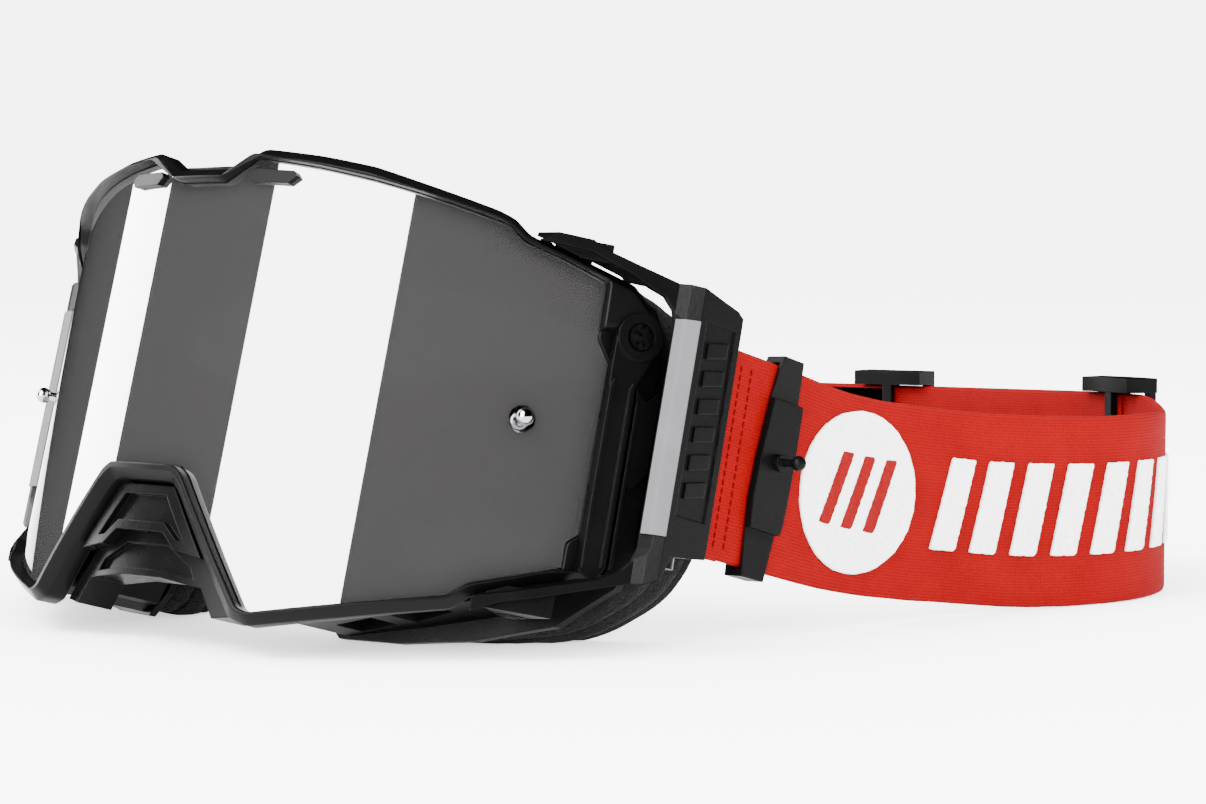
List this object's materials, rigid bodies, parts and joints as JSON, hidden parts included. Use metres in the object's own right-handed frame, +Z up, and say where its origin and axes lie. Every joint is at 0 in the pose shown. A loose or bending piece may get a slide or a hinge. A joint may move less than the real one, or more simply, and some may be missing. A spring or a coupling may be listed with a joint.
{
  "type": "off-road riding goggles",
  "caption": "Full-frame riding goggles with a curved smoke lens, pivoting strap outriggers, lens lock levers, layered face foam and an adjustable elastic strap.",
  "frame": {"origin": "on the floor, under the centre of the object's bounding box", "axes": "+Z up; the lens faces -Y and the strap's back is toward +Y; +X is the wearer's left-hand side"},
  "size_m": [0.2724, 0.2698, 0.1109],
  "materials": {
    "shell_plastic": "satin, finely grained",
    "lens_sheet": "smoke tint, polished",
    "soft_rubber": "matte",
    "post_metal": "polished",
    "pin_steel": "satin",
    "buckle_plastic": "satin",
    "strap_webbing": "woven elastic",
    "foam": "open-cell foam",
    "fleece": "brushed fleece"
  },
  "bodies": {
    "eyepiece_and_rear_strap": {"front_rim": "shell_plastic", "frame_body": "shell_plastic", "face_flange": "shell_plastic", "lens": "lens_sheet", "lens_seal": "soft_rubber", "lens_tab_left": "shell_plastic", "lens_tab_right": "shell_plastic", "tear_off_post_left": "post_metal", "tear_off_post_right": "post_metal", "post_washer_left": "post_metal", "post_washer_right": "post_metal", "nose_panel_upper": "shell_plastic", "nose_panel_lower": "shell_plastic", "nose_roof": "shell_plastic", "side_plate_left": "shell_plastic", "side_plate_right": "shell_plastic", "side_cover_left": "shell_plastic", "side_cover_right": "shell_plastic", "lever_pin_left": "pin_steel", "lever_pin_right": "pin_steel", "hinge_pins_left": "pin_steel", "hinge_pins_right": "pin_steel", "strap_bend_left": "strap_webbing", "strap_bend_right": "strap_webbing", "strap_rear": "strap_webbing", "strap_fold": "strap_webbing", "grip_lines": "soft_rubber", "face_foam_base": "foam", "face_foam_middle": "foam", "face_fleece": "fleece", "vent_foam_top": "foam", "vent_foam_bottom": "foam"},
    "outrigger_arm_left": {"outrigger_left": "shell_plastic", "outrigger_badge_left": "shell_plastic", "strap_pin_left": "pin_steel", "strap_side_left": "strap_webbing", "end_stitch_left": "strap_webbing"},
    "outrigger_arm_right": {"outrigger_right": "shell_plastic", "outrigger_badge_right": "shell_plastic", "strap_pin_right": "pin_steel", "strap_side_right": "strap_webbing", "end_stitch_right": "strap_webbing"},
    "lever_left": {"lens_lock_lever_left": "shell_plastic"},
    "lever_right": {"lens_lock_lever_right": "shell_plastic"},
    "keeper_left": {"strap_keeper_left": "buckle_plastic", "keeper_post_left": "buckle_plastic"},
    "keeper_right": {"strap_keeper_right": "buckle_plastic", "keeper_post_right": "buckle_plastic"},
    "adjuster_middle": {"tri_glide_middle": "buckle_plastic"},
    "adjuster_side": {"tri_glide_side": "buckle_plastic"}
  },
  "joints": [
    {"name": "lens_lock_swing_left", "type": "hinge", "parent": "eyepiece_and_rear_strap", "child": "lever_left", "pos_m": [-0.08805, -0.06531, 0.0681], "axis": [-0.8805, -0.4566, 0.1275], "range_deg": [0, 30]},
    {"name": "outrigger_swing_left", "type": "hinge", "parent": "eyepiece_and_rear_strap", "child": "outrigger_arm_left", "pos_m": [-0.0735, -0.07523, 0.06267], "axis": [0, 0.2689, 0.9632], "range_deg": [0, 3]},
    {"name": "keeper_slide_left", "type": "slide", "parent": "outrigger_arm_left", "child": "keeper_left", "axis": [-0.1191, 0.9563, -0.267], "range_m": [-0.0012, 0.026]},
    {"name": "lens_lock_swing_right", "type": "hinge", "parent": "eyepiece_and_rear_strap", "child": "lever_right", "pos_m": [0.08805, -0.06531, 0.0681], "axis": [0.8805, -0.4566, 0.1275], "range_deg": [-30, 0]},
    {"name": "outrigger_swing_right", "type": "hinge", "parent": "eyepiece_and_rear_strap", "child": "outrigger_arm_right", "pos_m": [0.0735, -0.07523, 0.06267], "axis": [0, 0.2689, 0.9632], "range_deg": [-3, 0]},
    {"name": "keeper_slide_right", "type": "slide", "parent": "outrigger_arm_right", "child": "keeper_right", "axis": [0.1191, 0.9563, -0.267], "range_m": [-0.0012, 0.026]},
    {"name": "adjuster_middle_slide", "type": "slide", "parent": "eyepiece_and_rear_strap", "child": "adjuster_middle", "axis": [1, 0, 0], "range_m": [-0.008, 0.008]},
    {"name": "adjuster_side_slide", "type": "hinge", "parent": "eyepiece_and_rear_strap", "child": "adjuster_side", "pos_m": [0.09244, 0.08866, 0.025], "axis": [0, 0, 1], "range_deg": [-8, 8]}
  ]
}
